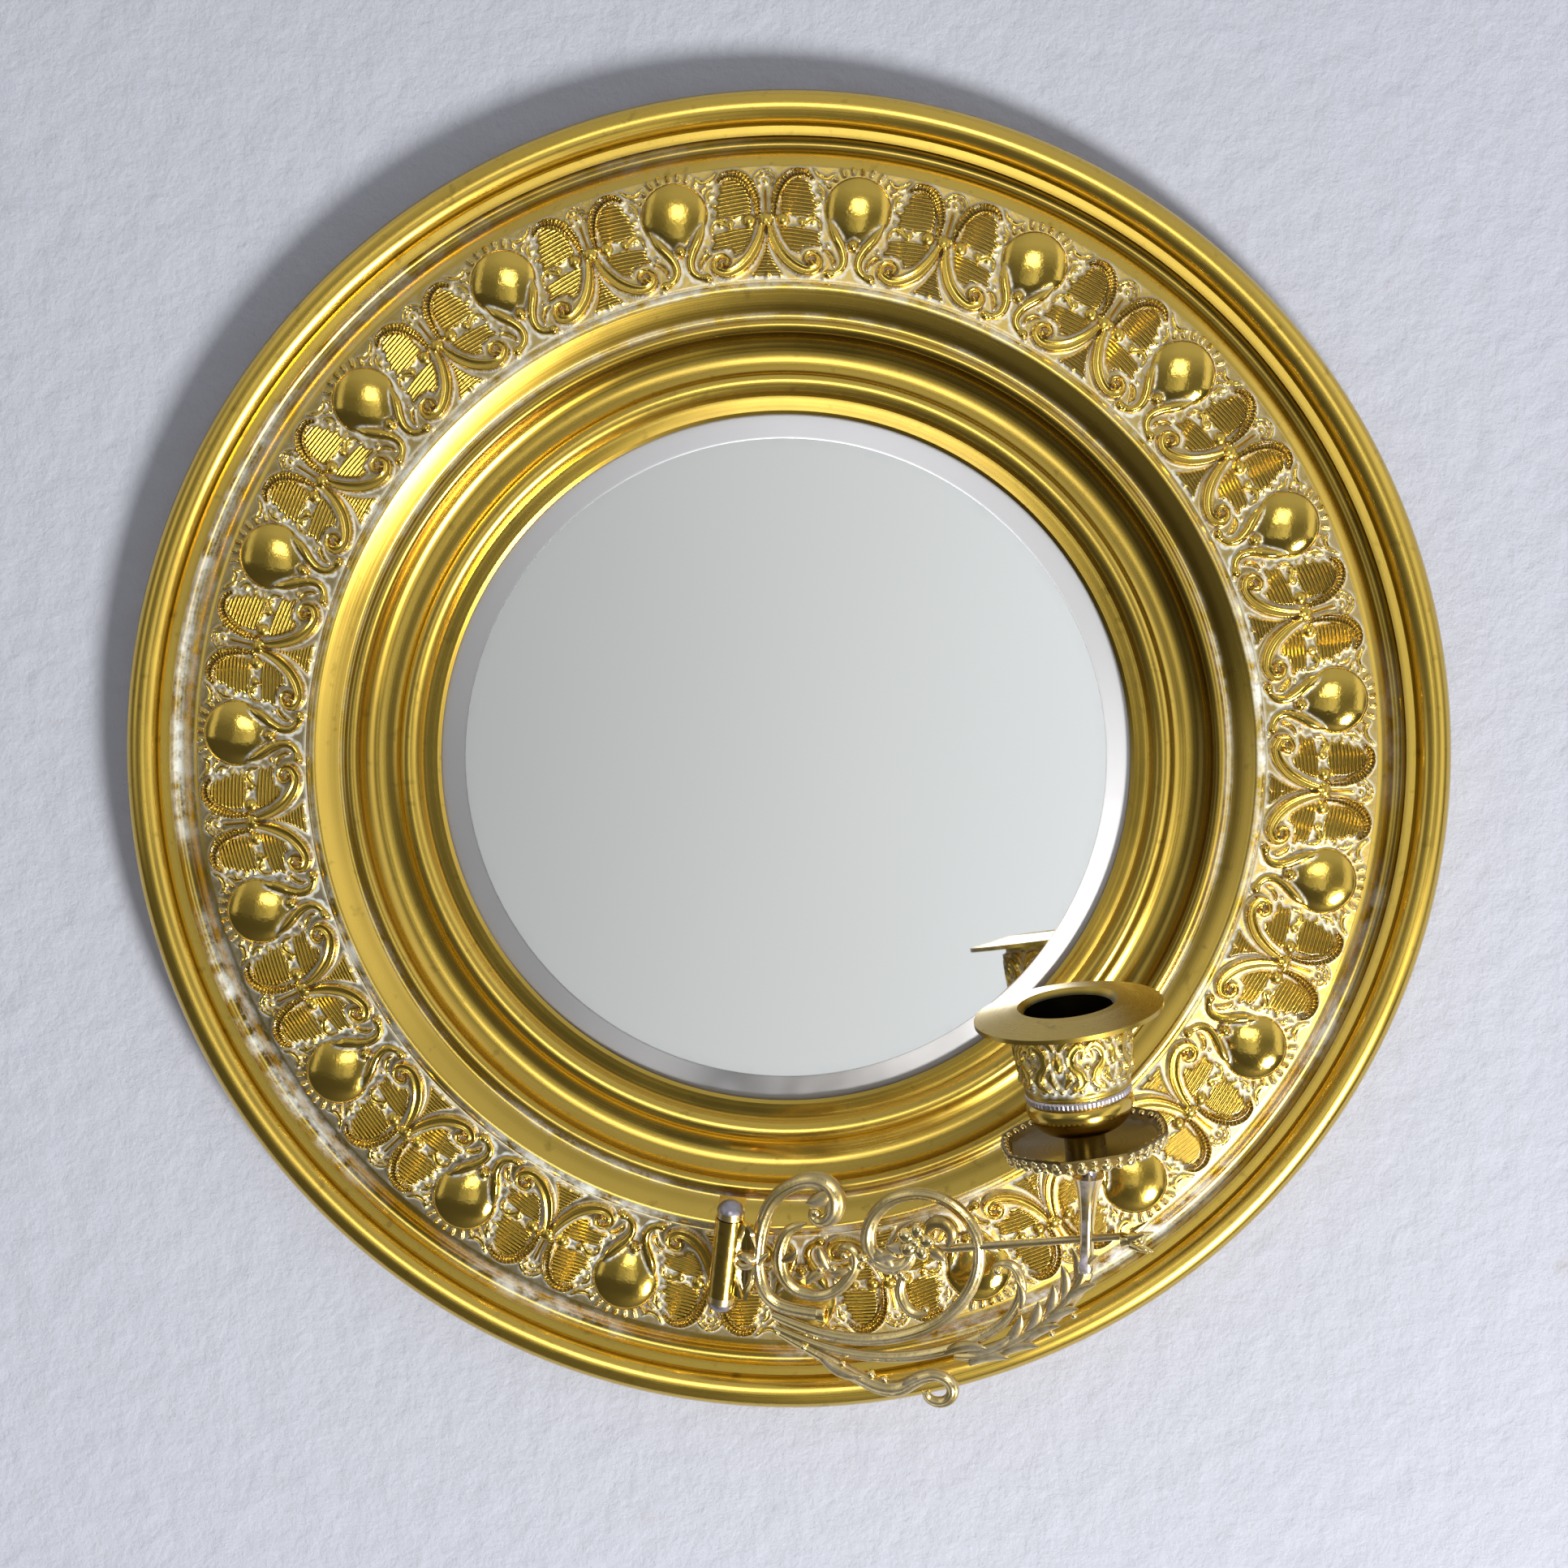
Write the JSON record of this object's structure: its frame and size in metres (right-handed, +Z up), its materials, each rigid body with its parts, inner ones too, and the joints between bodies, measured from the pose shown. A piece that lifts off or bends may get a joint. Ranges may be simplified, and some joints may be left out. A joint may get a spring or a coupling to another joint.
{
  "type": "girandole mirror",
  "caption": "Round wall mirror in a wide pressed-brass frame with a beaded and embossed band, and a scrolled candle arm that swings on a pin at its foot.",
  "frame": {"origin": "centre of the wooden back's rear face, on the wall", "axes": "+Y into the wall, +Z up, +X to the right of a person who faces the mirror"},
  "size_m": [0.3599, 0.1001, 0.36],
  "materials": {
    "pressed_brass": "polished, with pale polish left in the recesses of the relief",
    "turned_brass": "polished",
    "cast_brass": "worn bright on the ridges, grey-violet tarnish in the hollows",
    "brass_wire": "dull",
    "steel": "satin",
    "mirror": "silvered, polished",
    "paper": "matt brown paper",
    "board": "plain, unvarnished"
  },
  "bodies": {
    "plate": {"frame_plate": "pressed_brass", "mirror_glass": "mirror", "backing_paper": "paper", "backboard": "board", "board_clips": "brass_wire", "hanger_plate": "brass_wire", "hinge_bracket": "cast_brass", "bracket_screws": "steel", "bracket_washers": "steel", "hinge_pin": "steel", "pin_cap": "steel"},
    "ring": {"hanging_ring": "brass_wire"},
    "arm": {"arm_knuckle": "cast_brass", "upper_scroll": "cast_brass", "inner_scroll": "cast_brass", "great_scroll": "cast_brass", "lower_scroll": "cast_brass", "small_curl": "cast_brass", "tail_scroll": "cast_brass", "branch": "cast_brass", "rosette": "cast_brass", "cross_rod": "cast_brass", "rod_finial": "cast_brass", "candle_stem": "cast_brass", "drip_pan": "turned_brass", "bulb_collar": "turned_brass", "cup_ring": "turned_brass", "candle_cup": "pressed_brass", "stack_screw": "steel"},
    "nozzle": {"candle_nozzle": "turned_brass"}
  },
  "joints": [
    {"name": "arm_swing", "type": "hinge", "parent": "plate", "child": "arm", "pos_m": [0, -0.03401, -0.13302], "axis": [0, 0.208, -0.9781], "range_deg": [-14, 162]},
    {"name": "ring_swing", "type": "hinge", "parent": "plate", "child": "ring", "pos_m": [0, -0.01303, 0.14512], "axis": [1, 0, 0], "range_deg": [-12, 158]},
    {"name": "nozzle_lift", "type": "slide", "parent": "arm", "child": "nozzle", "axis": [-0.2423, -0.1334, 0.961], "range_m": [0, 0.03]}
  ]
}
